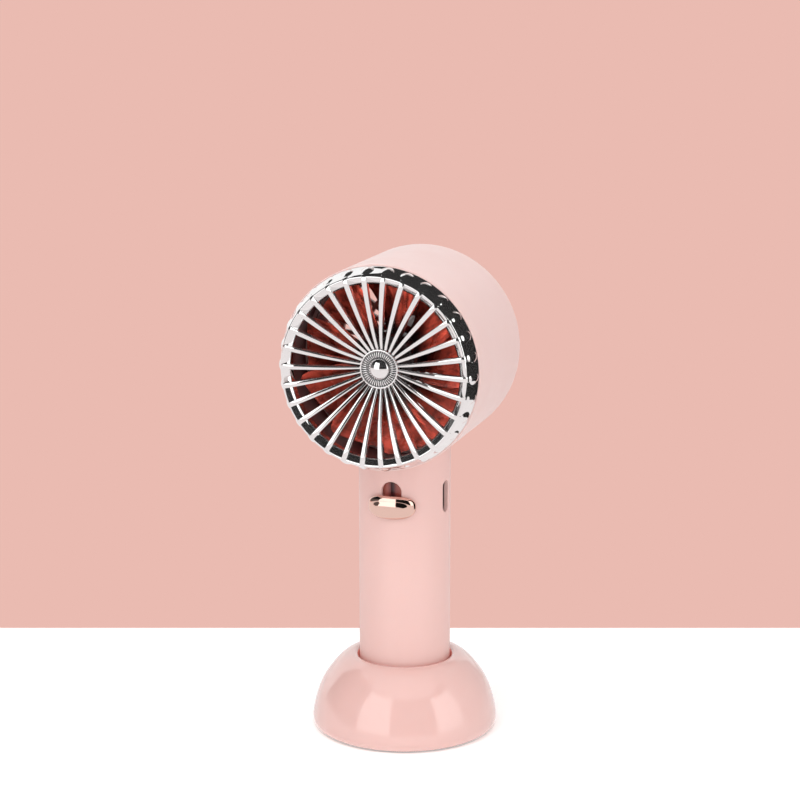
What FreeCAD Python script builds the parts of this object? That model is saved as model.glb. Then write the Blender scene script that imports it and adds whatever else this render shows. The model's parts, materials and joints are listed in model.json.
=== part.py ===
import FreeCAD, Part
import math
import os

# Handheld electric fan: a round handle with a horizontal drum-shaped head,
# standing in the socket of a weighted dome base.
# Millimetres. +Z up, the origin is the centre of the base's underside.
# The head blows towards -Y; the charging socket is on the +X side.

V = FreeCAD.Vector
os.makedirs("parts", exist_ok=True)

# ---------------------------------------------------------------- dimensions
# head
HEAD_Z = 154.2            # height of the head's axis
HEAD_R = 40.0             # outer radius of the drum
HEAD_WALL = 2.4
HEAD_RI = HEAD_R - HEAD_WALL
BAND_Y = -33.0            # joint between drum and chrome band
HEAD_BACK = 28.0          # rear end of the drum
BACK_ROUND = 2.2

# front grille
RIBS = 30
RIB_PHASE = 11.2          # degrees from +X towards +Z
RIB_W = 2.0
RING_RI = 33.6            # outer end of the windows
RING_RO = 36.8            # front edge of the ring
HUB_R = 7.2
# the ribs' front line, radius and y
RIB_FRONT = [(5.6, -32.2), (7.0, -33.0), (10.0, -34.5), (14.0, -36.5), (18.0, -38.1),
             (22.0, -39.4), (26.0, -40.4), (30.0, -41.3), (33.0, -41.8), (35.2, -41.7),
             (36.9, -41.0), (38.0, -39.6), (39.0, -37.4), (39.7, -35.0), (40.0, -33.0)]
RIB_T = 2.6               # depth of a rib

# impeller and motor
FAN_R = 35.0
FAN_HUB_R = 12.5
FAN_Y0 = -27.2
FAN_Y1 = -13.6
BLADES = 9
MOTOR_R = 12.0
SHAFT_R = 1.0
BUSH_BORE = 1.03

# handle
HANDLE_R = 18.4
HANDLE_WALL = 1.8
HANDLE_RI = HANDLE_R - HANDLE_WALL
HANDLE_Z0 = 9.3           # lower end of the shells, above the end cap
CAP_Z0 = 7.3              # underside of the end cap
SCREW_X = 12.7
SCREW_Z = (22.0, 80.8)
STUB_Z0 = 110.0
STUB_RO = 16.4
STUB_RI = 14.2

# switch
KNOB_Z = 96.3
KNOB_W = 19.4
KNOB_H = 9.0
KNOB_RO = 21.4
KNOB_GAP = 0.3
SWITCH_TRAVEL = 6.0
SLOT_W = 8.0
SLOT_Z0 = 91.6
SLOT_Z1 = 106.2
SHUTTER_RO = 16.2         # curved plate that closes the slot from behind
SHUTTER_RI = 15.1
SHUTTER_X = 5.6
SHUTTER_Z0 = 85.2
SHUTTER_Z1 = 106.8

# charging port
PORT_Z = 98.3
PORT_Y = -3.0
PORT_H = 12.8
PORT_W = 4.6

# circuit board, in a plane across the handle
PCB_Y0, PCB_Y1 = -5.8, -4.6
PCB_X = 14.2
PCB_Z0, PCB_Z1 = 84.5, 107.5

# battery, standard 18650 size
CELL_R = 9.2
CELL_Z0 = 13.0
CELL_L = 65.0

# base
BASE_R = 37.6
SOCKET_R = 18.75
SOCKET_Z = 6.5
CUP_RO = 20.75
# the dome's outer line, radius and height
DOME = [(37.6, 3.6), (37.5, 6.0), (36.7, 10.0), (35.2, 15.0), (32.9, 20.0),
        (30.1, 24.0), (27.6, 27.0), (25.3, 29.0), (23.4, 30.1), (21.6, 30.6)]
DOME_WALL = 2.3
WEIGHT_RI, WEIGHT_RO = 22.0, 32.4
WEIGHT_Z0, WEIGHT_Z1 = 3.2, 13.6
PLATE_Z0, PLATE_Z1 = 1.2, 3.0
FOOT_R = 33.0
BASE_SCREW_PCR = 27.5

YAX = V(0, 1, 0)
ZAX = V(0, 0, 1)


# ------------------------------------------------------------------- helpers
def cyl(r, a, b, x=0.0, y=0.0):
    """Upright cylinder from height a to height b."""
    return Part.makeCylinder(r, b - a, V(x, y, a), ZAX)


def ycyl(r, a, b, x=0.0, dz=0.0):
    """Cylinder along Y from a to b, set x and dz off the head's axis."""
    return Part.makeCylinder(r, b - a, V(x, a, HEAD_Z + dz), YAX)


def box(x0, x1, y0, y1, z0, z1):
    return Part.makeBox(x1 - x0, y1 - y0, z1 - z0, V(x0, y0, z0))


def fuse(shapes):
    s = shapes[0]
    if len(shapes) > 1:
        s = s.multiFuse(shapes[1:])
    return s.removeSplitter()


def poly_face(pts):
    return Part.Face(Part.makePolygon([V(*p) for p in pts] + [V(*pts[0])]))


def rev_z(pts):
    """Solid of revolution about Z from (radius, height) corners."""
    return poly_face([(r, 0, z) for r, z in pts]).revolve(V(0, 0, 0), ZAX, 360)


def rev_y(pts):
    """Solid of revolution about the head's axis from (radius, y) corners."""
    return poly_face([(r, y, HEAD_Z) for r, y in pts]).revolve(V(0, 0, HEAD_Z), YAX, 360)


def ytube(ro, ri, a, b):
    return ycyl(ro, a, b).cut(ycyl(ri, a - 1, b + 1))


def about_axis(shape, deg):
    """Copy turned about the head's axis, from +X towards +Z."""
    s = shape.copy()
    s.rotate(V(0, 0, HEAD_Z), V(0, -1, 0), deg)
    return s


def obround_y(w, z0, z1, y0, y1, x=0.0):
    """Upright slot shape, w wide, swept along Y."""
    r = w / 2.0
    return fuse([box(x - r, x + r, y0, y1, z0 + r, z1 - r),
                 Part.makeCylinder(r, y1 - y0, V(x, y0, z0 + r), YAX),
                 Part.makeCylinder(r, y1 - y0, V(x, y0, z1 - r), YAX)])


def obround_x(w, z0, z1, x0, x1, y=0.0):
    r = w / 2.0
    return fuse([box(x0, x1, y - r, y + r, z0 + r, z1 - r),
                 Part.makeCylinder(r, x1 - x0, V(x0, y, z0 + r), V(1, 0, 0)),
                 Part.makeCylinder(r, x1 - x0, V(x0, y, z1 - r), V(1, 0, 0))])


def pill_y(w, h, zc, y0, y1):
    """Lying pill shape, w wide and h tall, swept along Y."""
    r = h / 2.0
    return fuse([box(-w / 2 + r, w / 2 - r, y0, y1, zc - r, zc + r),
                 Part.makeCylinder(r, y1 - y0, V(-w / 2 + r, y0, zc), YAX),
                 Part.makeCylinder(r, y1 - y0, V(w / 2 - r, y0, zc), YAX)])


def lead(points, r, bend):
    """Round wire along straight runs joined by tangent arcs."""
    p = [V(*q) for q in points]
    edges = []
    start = p[0]
    for i in range(1, len(p) - 1):
        a = (p[i - 1] - p[i]).normalize()
        b = (p[i + 1] - p[i]).normalize()
        half = a.getAngle(b) / 2.0
        cut = bend / math.tan(half)
        t0 = p[i] + a * cut
        t1 = p[i] + b * cut
        mid_dir = (a + b).normalize()
        mid = p[i] + mid_dir * (bend / math.sin(half) - bend)
        edges.append(Part.LineSegment(start, t0).toShape())
        edges.append(Part.Arc(t0, mid, t1).toShape())
        start = t1
    edges.append(Part.LineSegment(start, p[-1]).toShape())
    path = Part.Wire(edges)
    d = (p[1] - p[0])
    ring = Part.Wire([Part.Circle(p[0], d, r).toShape()])
    return path.makePipeShell([ring], True, True)


def soften(shape, radius, test, chamfer=False):
    """Rounds, or chamfers, the edges whose every vertex passes the test."""
    edges = [e for e in shape.Edges if e.Length > 0.05 and all(test(v.Point) for v in e.Vertexes)]
    if chamfer:
        out = shape.makeChamfer(radius, edges)
    else:
        out = shape.makeFillet(radius, edges)
    if not out.isValid() or len(out.Solids) != 1:
        raise RuntimeError("an edge could not be softened")
    return out


def radial(p):
    return math.hypot(p.x, p.y)


nodes = {}

# ---------------------------------------------------------------------- base
spl = Part.BSplineCurve()
spl.interpolate([V(r, 0, z) for r, z in DOME])
edge_in = [V(21.6, 0, 30.6), V(20.0, 0, 30.5), V(18.95, 0, 29.6)]
lip = Part.Arc(*edge_in).toShape()
foot_round = Part.Arc(V(35.0, 0, 0.6), V(36.75, 0, 1.45), V(37.6, 0, 3.6)).toShape()
outline = [spl.toShape(), lip,
           Part.LineSegment(V(18.95, 0, 29.6), V(0, 0, 29.6)).toShape(),
           Part.LineSegment(V(0, 0, 29.6), V(0, 0, 0.6)).toShape(),
           Part.LineSegment(V(0, 0, 0.6), V(35.0, 0, 0.6)).toShape(),
           foot_round]
dome = Part.Face(Part.Wire(Part.__sortEdges__(outline))).revolve(V(0, 0, 0), ZAX, 360)
dome = dome.cut(cyl(SOCKET_R, SOCKET_Z, 40))
dome = dome.cut(rev_z([(SOCKET_R - 0.5, 29.1), (SOCKET_R, 29.1), (19.3, 30.6), (SOCKET_R - 0.5, 30.6)]))
hollow = [(CUP_RO, 4.5), (0.0, 4.5), (0.0, 0.0), (35.0, 0.0), (35.2, 3.6)]
for r, z in DOME[1:7]:
    hollow.append((r - DOME_WALL - 0.02 * z, z - 0.05 * z))
hollow.append((CUP_RO, 26.0))
dome = dome.cut(rev_z(hollow))
# bosses for the bottom plate's screws
for k in range(3):
    a = math.radians(90 + 120 * k)
    x, y = BASE_SCREW_PCR * math.cos(a), BASE_SCREW_PCR * math.sin(a)
    boss = cyl(2.6, PLATE_Z1, 23.0, x, y)
    dome = dome.fuse(boss)
for k in range(3):
    a = math.radians(90 + 120 * k)
    x, y = BASE_SCREW_PCR * math.cos(a), BASE_SCREW_PCR * math.sin(a)
    dome = dome.cut(cyl(0.95, 0.0, 12.0, x, y))
nodes["base_dome"] = dome

weight = cyl(WEIGHT_RO, WEIGHT_Z0, WEIGHT_Z1).cut(cyl(WEIGHT_RI, 0, 20))
plate = cyl(34.8, PLATE_Z0, PLATE_Z1)
screws = []
for k in range(3):
    a = math.radians(90 + 120 * k)
    x, y = BASE_SCREW_PCR * math.cos(a), BASE_SCREW_PCR * math.sin(a)
    weight = weight.cut(cyl(3.0, 0, 20, x, y))
    plate = plate.cut(cyl(1.2, 0, 5, x, y)).cut(cyl(2.2, 0, 2.2, x, y))
    s = cyl(2.0, 1.3, 2.2, x, y).fuse(cyl(0.95, 2.2, 10.5, x, y))
    s = s.cut(box(x - 1.3, x + 1.3, y - 0.25, y + 0.25, 1.2, 1.7))
    s = s.cut(box(x - 0.25, x + 0.25, y - 1.3, y + 1.3, 1.2, 1.7))
    screws.append(s)
nodes["base_weight"] = weight
nodes["base_bottom_plate"] = plate
nodes["base_screws"] = Part.makeCompound(screws)
nodes["base_foot_pad"] = rev_z([(0, 0), (FOOT_R - 0.4, 0), (FOOT_R, 0.4), (FOOT_R, 1.2), (0, 1.2)])

# soft disc at the bottom of the socket
nodes["socket_pad"] = cyl(17.8, SOCKET_Z, CAP_Z0)

# ---------------------------------------------------------------- head shell
a45 = BACK_ROUND * (1 - math.sqrt(0.5))
prof = [
    Part.LineSegment(V(HEAD_RI, BAND_Y, HEAD_Z), V(HEAD_R, BAND_Y, HEAD_Z)).toShape(),
    Part.LineSegment(V(HEAD_R, BAND_Y, HEAD_Z), V(HEAD_R, HEAD_BACK - BACK_ROUND, HEAD_Z)).toShape(),
    Part.Arc(V(HEAD_R, HEAD_BACK - BACK_ROUND, HEAD_Z),
             V(HEAD_R - a45, HEAD_BACK - a45, HEAD_Z),
             V(HEAD_R - BACK_ROUND, HEAD_BACK, HEAD_Z)).toShape(),
    Part.LineSegment(V(HEAD_R - BACK_ROUND, HEAD_BACK, HEAD_Z), V(HEAD_RI, HEAD_BACK, HEAD_Z)).toShape(),
    Part.LineSegment(V(HEAD_RI, HEAD_BACK, HEAD_Z), V(HEAD_RI, BAND_Y, HEAD_Z)).toShape()]
shell = Part.Face(Part.Wire(prof)).revolve(V(0, 0, HEAD_Z), YAX, 360)
# shoulder that the motor mount seats against
shell = shell.fuse(ytube(HEAD_RI + 0.5, 36.0, -11.0, -8.0))
# neck stub, with a groove for the handle's rib, and the cable hole
stub = cyl(STUB_RO, STUB_Z0, 122.0).cut(cyl(STUB_RI, 100, 130))
stub = stub.cut(cyl(20, 111.4, 113.0).cut(cyl(15.5, 111.4, 113.0)))
stub = stub.cut(ycyl(HEAD_RI + 0.6, -30, 28))
stub = stub.cut(box(-7.0, 7.0, -20, -12.0, 105, 114.0))      # room for the switch's shutter plate
shell = shell.fuse(stub)
shell = shell.cut(Part.makeCylinder(4.0, 20, V(0, 9.6, 108), ZAX))
nodes["head_shell"] = shell.removeSplitter()

# -------------------------------------------------------------- front grille
ring = rev_y([(RING_RI, -40.6), (34.4, -41.15), (35.6, -41.3), (RING_RO - 0.1, -40.8),
              (37.7, -39.4), (38.6, -37.4), (39.3, -35.0), (39.6, -33.0),
              (37.4, -33.0), (37.4, -29.2), (36.1, -29.2), (36.1, -36.6), (RING_RI, -38.6)])
hub = ycyl(HUB_R, -33.0, -30.6).cut(ycyl(6.6, -34, -32.0)).cut(ycyl(2.0, -35, -29))
front = RIB_FRONT
back = []
for r, y in front[:10]:
    back.append((r, y + RIB_T))
back = [(5.6, -30.8)] + back[1:9] + [(35.4, -38.6), (36.1, -37.5), (37.4, -36.0), (37.4, -33.0)]
rib_pts = [(r, y) for r, y in front] + [(r, y) for r, y in reversed(back)]
rib_face = poly_face([(r, y, HEAD_Z - RIB_W / 2) for r, y in rib_pts])
rib = rib_face.extrude(V(0, 0, RIB_W))
rib = rib.cut(ycyl(6.7, -40, -28))
# rounded front edge of a rib, taken as two long bevels
ribs = [about_axis(rib, RIB_PHASE + i * 360.0 / RIBS) for i in range(RIBS)]
grille = ring.multiFuse([hub] + ribs)
nodes["front_grille"] = grille
nodes["grille_hub_ring"] = rev_y([(4.4, -32.0), (6.5, -32.0), (6.5, -32.9), (6.0, -33.4), (4.9, -33.4), (4.4, -32.9)])
CAP_R, CAP_Y = 4.368, -31.232          # the cap's dome, sphere radius and centre
cap = Part.makeSphere(CAP_R, V(0, CAP_Y, HEAD_Z)).common(ycyl(6.0, -40, -32.0))
nodes["grille_hub_cap"] = cap.fuse(ycyl(2.0, -32.0, -30.8)).removeSplitter()

# --------------------------------------------------------------- rear grille
rg = ytube(HEAD_RI, 36.2, 7.6, 26.6)
rg = rg.fuse(ytube(36.4, 34.0, 24.4, 26.6))
parts_rg = [ycyl(15.5, 24.8, 27.0), ytube(25.6, 24.0, 24.8, 26.8)]
for i in range(36):
    b = box(15.0, 34.6, 24.8, 26.8, HEAD_Z - 0.85, HEAD_Z + 0.85)
    parts_rg.append(about_axis(b, 5.0 + i * 10.0))
rg = rg.multiFuse(parts_rg)
rg = rg.cut(Part.makeCylinder(4.0, 12, V(0, 9.6, 108), ZAX))     # notch for the motor's leads
nodes["rear_grille"] = rg

# --------------------------------------------------------------------- motor
mount = ytube(14.2, 12.05, -9.3, 7.0).fuse(ycyl(14.2, -11.0, -9.3)).cut(ycyl(4.2, -12, -9))
mount = mount.multiFuse([ytube(HEAD_RI, 36.0, -8.0, 7.4)])
vanes = []
for i in range(7):
    b = box(13.6, 36.6, -6.5, 5.0, HEAD_Z - 0.8, HEAD_Z + 0.8)
    b.rotate(V(25, 0, HEAD_Z), V(1, 0, 0), 14)
    vanes.append(about_axis(b, 90 + i * 360.0 / 7))
mount = mount.multiFuse(vanes)
mount = mount.cut(ycyl(12.05, -9.3, 12))
mount = mount.cut(ycyl(1.1, -12, -9, 8.0)).cut(ycyl(1.1, -12, -9, -8.0))
nodes["motor_mount"] = mount

can = ycyl(MOTOR_R, -9.3, 8.0).cut(ycyl(11.0, -8.3, 9.0)).cut(ycyl(2.5, -10, -8))
can = can.cut(ycyl(0.9, -10, -8, 8.0)).cut(ycyl(0.9, -10, -8, -8.0))
nodes["motor_can"] = can
nodes["motor_bearing_front"] = ycyl(2.5, -9.9, -7.0).cut(ycyl(BUSH_BORE, -11, -6))
nodes["motor_bearing_rear"] = ycyl(2.5, 6.3, 9.0).cut(ycyl(BUSH_BORE, 5, 10))
endcap = ycyl(11.0, 6.6, 8.0).fuse(ycyl(MOTOR_R, 8.0, 9.4)).cut(ycyl(2.5, 6, 9.0)).cut(ycyl(1.4, 6, 12))
endcap = endcap.cut(box(3.4, 4.6, 6, 10, HEAD_Z - 7.1, HEAD_Z - 4.9)).cut(box(-4.6, -3.4, 6, 10, HEAD_Z - 7.1, HEAD_Z - 4.9))
nodes["motor_end_cap"] = endcap
nodes["motor_terminals"] = Part.makeCompound([box(s * 4.0 - 0.4, s * 4.0 + 0.4, 6.6, 12.2, HEAD_Z - 6.8, HEAD_Z - 5.2)
                                              for s in (-1, 1)])
mags = []
for s in (0, 180):
    m = ytube(10.95, 8.9, -6.5, 5.0).common(box(-20, 20, -7, 6, HEAD_Z + 2.5, HEAD_Z + 12))
    mags.append(about_axis(m, s))
nodes["motor_magnets"] = Part.makeCompound(mags)
nodes["motor_brushes"] = Part.makeCompound([
    box(3.0, 7.0, 4.9, 6.4, HEAD_Z - 0.8, HEAD_Z + 0.8),
    box(-7.0, -3.0, 4.9, 6.4, HEAD_Z - 0.8, HEAD_Z + 0.8)])
ms = []
for s in (-1, 1):
    q = ycyl(1.8, -12.0, -11.0, s * 8.0).fuse(ycyl(0.88, -11.0, -7.6, s * 8.0))
    q = q.cut(box(s * 8 - 1.2, s * 8 + 1.2, -12.2, -11.6, HEAD_Z - 0.25, HEAD_Z + 0.25))
    q = q.cut(box(s * 8 - 0.25, s * 8 + 0.25, -12.2, -11.6, HEAD_Z - 1.2, HEAD_Z + 1.2))
    ms.append(q)
nodes["motor_screws"] = Part.makeCompound(ms)

nodes["motor_shaft"] = ycyl(SHAFT_R, -25.4, 8.8)
arm = ycyl(8.4, -5.6, 3.6).fuse(ycyl(2.6, 3.6, 6.0)).cut(ycyl(SHAFT_R, -7, 7))
for i in range(3):
    arm = arm.cut(about_axis(box(3.4, 9.0, -6, 3.7, HEAD_Z - 0.9, HEAD_Z + 0.9), 30 + 120 * i))
nodes["motor_armature"] = arm

# ------------------------------------------------------------------ impeller
hub_i = rev_y([(0, FAN_Y0), (5.0, FAN_Y0 + 0.2), (9.0, FAN_Y0 + 1.4), (11.6, FAN_Y0 + 3.4), (FAN_HUB_R, FAN_Y0 + 6.0),
               (FAN_HUB_R, FAN_Y1), (11.1, FAN_Y1), (11.1, FAN_Y0 + 6.4), (8.6, FAN_Y0 + 3.6),
               (3.2, FAN_Y0 + 2.6), (3.2, FAN_Y1 - 0.6), (0, FAN_Y1 - 0.6)])
hub_i = hub_i.cut(ycyl(SHAFT_R, -25.4, -10))


def blade_section(r, pitch, chord, thick, sweep, yc):
    """Thin cambered section in the plane at radius r (x = r), pitched about X."""
    out = []
    n = 6
    ca, sa = math.cos(math.radians(pitch)), math.sin(math.radians(pitch))
    upper, lower = [], []
    for i in range(n + 1):
        u = i / n
        c = (u - 0.5) * chord
        camber = 0.10 * chord * (1 - (2 * u - 1) ** 2)
        half = thick * (0.35 + 0.65 * math.sin(math.pi * min(1, u * 0.9 + 0.12)))
        upper.append((c, camber + half / 2))
        lower.append((c, camber - half / 2))
    ring_pts = upper + lower[::-1]
    for c, n_ in ring_pts:
        t = c * ca - n_ * sa
        y = c * sa + n_ * ca
        out.append(V(r, yc + y, HEAD_Z + sweep + t))
    return Part.makePolygon(out + [out[0]])


def make_blade():
    secs = [blade_section(11.0, 50, 13.2, 1.5, 0.0, -20.4),
            blade_section(18.0, 42, 17.8, 1.4, 0.6, -20.4),
            blade_section(25.0, 33, 22.2, 1.3, 2.2, -20.4),
            blade_section(31.0, 28, 26.0, 1.2, 4.6, -20.4),
            blade_section(36.5, 24.5, 29.6, 1.1, 7.6, -20.4)]
    b = Part.makeLoft(secs, True, True)
    return b


blade = make_blade().common(ycyl(FAN_R, FAN_Y0, FAN_Y1 + 0.2)).cut(ycyl(11.7, -40, 0))
imp = hub_i.multiFuse([about_axis(blade, i * 360.0 / BLADES) for i in range(BLADES)])
nodes["impeller"] = imp

# -------------------------------------------------------------------- handle
tube = cyl(HANDLE_R, HANDLE_Z0, 130).cut(cyl(HANDLE_RI, 0, 140))
# inner rib that locks on the neck stub
tube = tube.fuse(cyl(HANDLE_RI + 0.2, 111.6, 112.8).cut(cyl(15.7, 100, 120)))
drum = ycyl(HEAD_R, -60, 60)
tube = tube.cut(drum)
outer = cyl(HANDLE_R - 0.4, HANDLE_Z0, 108)
front_half = box(-30, 30, -30, 0, 0, 140)
rear_half = box(-30, 30, 0, 30, 0, 140)
fs = tube.common(front_half)
rs = tube.common(rear_half)
for z in SCREW_Z:
    for x in (-SCREW_X, SCREW_X):
        fs = fs.fuse(Part.makeCylinder(2.6, 20, V(x, -20, z), YAX).common(outer))
        rs = rs.fuse(Part.makeCylinder(3.0, 20, V(x, 0, z), YAX).common(outer))
# slot that the switch's knob slides in, open through the wall
fs = fs.cut(obround_y(SLOT_W, SLOT_Z0, SLOT_Z1, -25, -10))
# room for the shutter plate's upper end
fs = fs.cut(box(-6.6, 6.6, -16.58, -10, 110.0, 114.0))
# charging recess
fs = fs.cut(obround_x(PORT_W, PORT_Z - PORT_H / 2, PORT_Z + PORT_H / 2, 12.0, 25.0, PORT_Y))
for z in SCREW_Z:
    for x in (-SCREW_X, SCREW_X):
        fs = fs.cut(Part.makeCylinder(0.95, 7.0, V(x, -7.0, z), YAX))
        rs = rs.cut(Part.makeCylinder(1.2, 30, V(x, -1, z), YAX))
        rs = rs.cut(Part.makeCylinder(2.2, 30, V(x, 5.0, z), YAX))
fs = fs.removeSplitter()
rs = rs.removeSplitter()
# rounded rims of the slot and of the charging recess, and a fine groove where the halves meet
fs = soften(fs, 0.45, lambda p: abs(radial(p) - HANDLE_R) < 0.02 and abs(p.x) < 4.1 and p.y < 0 and 91.0 < p.z < 107.0)
fs = soften(fs, 0.35, lambda p: abs(radial(p) - HANDLE_R) < 0.02 and p.x > 16.0 and -5.5 < p.y < -0.5 and 91.0 < p.z < 106.0)
fs = soften(fs, 0.14, lambda p: abs(abs(p.x) - HANDLE_R) < 0.01 and abs(p.y) < 0.01, True)
rs = soften(rs, 0.14, lambda p: abs(abs(p.x) - HANDLE_R) < 0.01 and abs(p.y) < 0.01, True)
for z in SCREW_Z:
    for x in (-SCREW_X, SCREW_X):
        rs = soften(rs, 0.3, lambda p: p.y > 8.0 and abs(radial(p) - HANDLE_R) < 0.02 and abs(p.x - x) < 2.6 and abs(p.z - z) < 2.6)
nodes["handle_front_shell"] = fs
nodes["handle_rear_shell"] = rs
hs = []
for z in SCREW_Z:
    for x in (-SCREW_X, SCREW_X):
        q = Part.makeCylinder(2.0, 1.4, V(x, 5.0, z), YAX).fuse(Part.makeCylinder(0.95, 11.0, V(x, -6.0, z), YAX))
        q = q.cut(box(x - 1.3, x + 1.3, 5.8, 7, z - 0.25, z + 0.25)).cut(box(x - 0.25, x + 0.25, 5.8, 7, z - 1.3, z + 1.3))
        hs.append(q)
nodes["handle_screws"] = Part.makeCompound(hs)
nodes["handle_end_cap"] = rev_z([(0, CAP_Z0), (17.2, CAP_Z0), (HANDLE_R, CAP_Z0 + 1.2), (HANDLE_R, HANDLE_Z0),
                                 (16.5, HANDLE_Z0), (16.5, 11.6), (14.6, 11.6), (14.6, HANDLE_Z0), (0, HANDLE_Z0)])

# ------------------------------------------------------- battery and circuit
nodes["battery_cell"] = fuse([cyl(CELL_R, CELL_Z0, CELL_Z0 + CELL_L - 0.8),
                              cyl(3.0, CELL_Z0 + CELL_L - 1.0, CELL_Z0 + CELL_L)])
cell_top = CELL_Z0 + CELL_L
nodes["battery_tabs"] = Part.makeCompound([box(-2.5, 2.5, -3.0, 13.0, CELL_Z0 - 0.3, CELL_Z0),
                                           box(-2.5, 2.5, -3.0, 4.0, cell_top, cell_top + 0.3)])
nodes["control_pcb"] = box(-PCB_X, PCB_X, PCB_Y0, PCB_Y1, PCB_Z0, PCB_Z1)
nodes["pcb_components"] = Part.makeCompound([
    box(-11.0, -5.0, PCB_Y0 - 2.8, PCB_Y0, 86.5, 92.5),      # boost inductor
    box(6.5, 11.0, PCB_Y0 - 1.5, PCB_Y0, 86.5, 91.5),        # charger chip
    box(7.6, 9.6, PCB_Y0 - 0.8, PCB_Y0, 95.0, 96.0),         # charge light
    box(-10.5, -7.5, PCB_Y0 - 1.2, PCB_Y0, 97.0, 101.0)])    # capacitor
usb = box(7.6, 15.4, PORT_Y - 1.6, PORT_Y + 1.6, PORT_Z - 4.47, PORT_Z + 4.47)
usb = obround_x(3.2, PORT_Z - 4.47, PORT_Z + 4.47, 8.0, 15.4, PORT_Y)
usb = usb.cut(obround_x(2.56, PORT_Z - 4.17, PORT_Z + 4.17, 9.0, 16.0, PORT_Y))
nodes["usb_c_shell"] = usb
nodes["usb_c_tongue"] = fuse([box(9.0, 10.2, PORT_Y - 1.2, PORT_Y + 1.2, PORT_Z - 2.8, PORT_Z + 2.8),
                              box(10.2, 14.6, PORT_Y - 0.35, PORT_Y + 0.35, PORT_Z - 3.3, PORT_Z + 3.3)])
swc = box(-3.6, 3.6, -9.8, PCB_Y0, 89.6, 105.0)
swc = swc.cut(box(-2.4, 2.4, -9.2, -6.6, 91.0, 104.0)).cut(box(-1.35, 1.35, -10.5, -9.0, 92.6, 104.0))
nodes["slide_switch_can"] = swc
nodes["battery_leads"] = Part.makeCompound([
    lead([(1.2, 1.0, cell_top + 0.3), (1.2, 1.0, 83.5), (-5.0, 1.6, 90.5), (-5.0, PCB_Y1, 90.5)], 0.6, 1.8),
    lead([(0.0, 12.0, CELL_Z0), (0.0, 12.0, 50.0), (0.2, 12.0, 84.0), (-9.0, 4.5, 96.0), (-9.0, PCB_Y1, 96.0)], 0.6, 3.0)])
nodes["motor_leads"] = Part.makeCompound([
    lead([(s * 1.6, PCB_Y1, 104.0), (s * 1.6, 2.0, 104.0), (s * 1.6, 10.0, 110.0), (s * 1.8, 11.4, 130.0),
          (s * 4.0, 11.6, 139.0), (s * 4.0, 11.6, HEAD_Z - 6.8)], 0.6, 2.2) for s in (-1, 1)])

# -------------------------------------------------------------------- switch
knob = pill_y(KNOB_W, KNOB_H, KNOB_Z, -24, -12)
knob = knob.common(cyl(KNOB_RO, 80, 110).cut(cyl(HANDLE_R + KNOB_GAP, 70, 120)))
knob = knob.fuse(obround_y(7.2, KNOB_Z - 4.1, KNOB_Z + 3.3, -19.5, -10.0).cut(cyl(SHUTTER_RO, 80, 110)))
knob = knob.fuse(box(-0.75, 0.75, -17.5, -14.6, KNOB_Z - 1.8, KNOB_Z + 1.8))
nodes["switch_knob"] = knob.removeSplitter()
carrier = cyl(SHUTTER_RO, SHUTTER_Z0, SHUTTER_Z1).cut(cyl(SHUTTER_RI, 0, 200))
carrier = carrier.common(box(-SHUTTER_X, SHUTTER_X, -20, 0, 0, 200))
# groove down the middle of the plate above the knob
carrier = carrier.cut(box(-0.55, 0.55, -20, -15.65, KNOB_Z + 3.4, 200))
carrier = carrier.fuse(box(-2.6, 2.6, -15.4, -11.0, KNOB_Z - 2.6, KNOB_Z + 2.6))
carrier = carrier.cut(box(-0.75, 0.75, -18, -14.6, KNOB_Z - 1.8, KNOB_Z + 1.8))
carrier = carrier.cut(box(-1.0, 1.0, -12.9, -10.0, KNOB_Z - 1.0, KNOB_Z + 1.0))
nodes["switch_carrier"] = carrier.removeSplitter()
nodes["switch_lever"] = fuse([box(-1.0, 1.0, -12.9, -8.6, KNOB_Z - 1.0, KNOB_Z + 1.0),
                              box(-2.0, 2.0, -8.9, -7.0, KNOB_Z - 1.6, KNOB_Z + 1.6)])

# --------------------------------------------------------------------- write
for name, shape in nodes.items():
    if not shape.isValid():
        print("invalid", name)
    print(name, len(shape.Solids), round(shape.Volume, 1))
    shape.exportStep("parts/" + name + ".step")
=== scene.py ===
import bpy, bmesh, json, math
import numpy as np
from mathutils import Vector, Matrix

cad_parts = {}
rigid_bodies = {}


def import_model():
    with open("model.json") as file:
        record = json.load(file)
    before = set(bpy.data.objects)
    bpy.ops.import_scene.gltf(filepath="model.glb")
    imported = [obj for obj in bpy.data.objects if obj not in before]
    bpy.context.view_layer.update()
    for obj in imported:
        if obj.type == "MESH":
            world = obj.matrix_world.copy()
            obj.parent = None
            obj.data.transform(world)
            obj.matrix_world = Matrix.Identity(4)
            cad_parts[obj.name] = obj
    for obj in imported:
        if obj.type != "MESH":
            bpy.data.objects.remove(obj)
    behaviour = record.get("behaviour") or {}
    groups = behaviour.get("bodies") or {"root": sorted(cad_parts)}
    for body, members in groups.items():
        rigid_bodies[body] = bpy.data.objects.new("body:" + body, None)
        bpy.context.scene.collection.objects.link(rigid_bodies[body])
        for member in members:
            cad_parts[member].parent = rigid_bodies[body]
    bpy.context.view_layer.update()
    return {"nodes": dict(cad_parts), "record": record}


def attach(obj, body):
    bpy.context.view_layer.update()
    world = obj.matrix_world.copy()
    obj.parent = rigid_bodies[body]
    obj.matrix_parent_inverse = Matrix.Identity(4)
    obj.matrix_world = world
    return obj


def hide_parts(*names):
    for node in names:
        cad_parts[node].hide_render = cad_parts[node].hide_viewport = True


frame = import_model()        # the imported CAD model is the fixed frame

MM = 0.001
scene = bpy.context.scene

# dimensions of the frame that the detailed pieces follow (mm)
HZ = 154.2               # height of the head's axis
HEAD_R = 40.0
BAND_Y = -33.0
BACK_Y = 28.0
RIBS = 30
PHASE = 11.2
BLADES = 9


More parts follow.
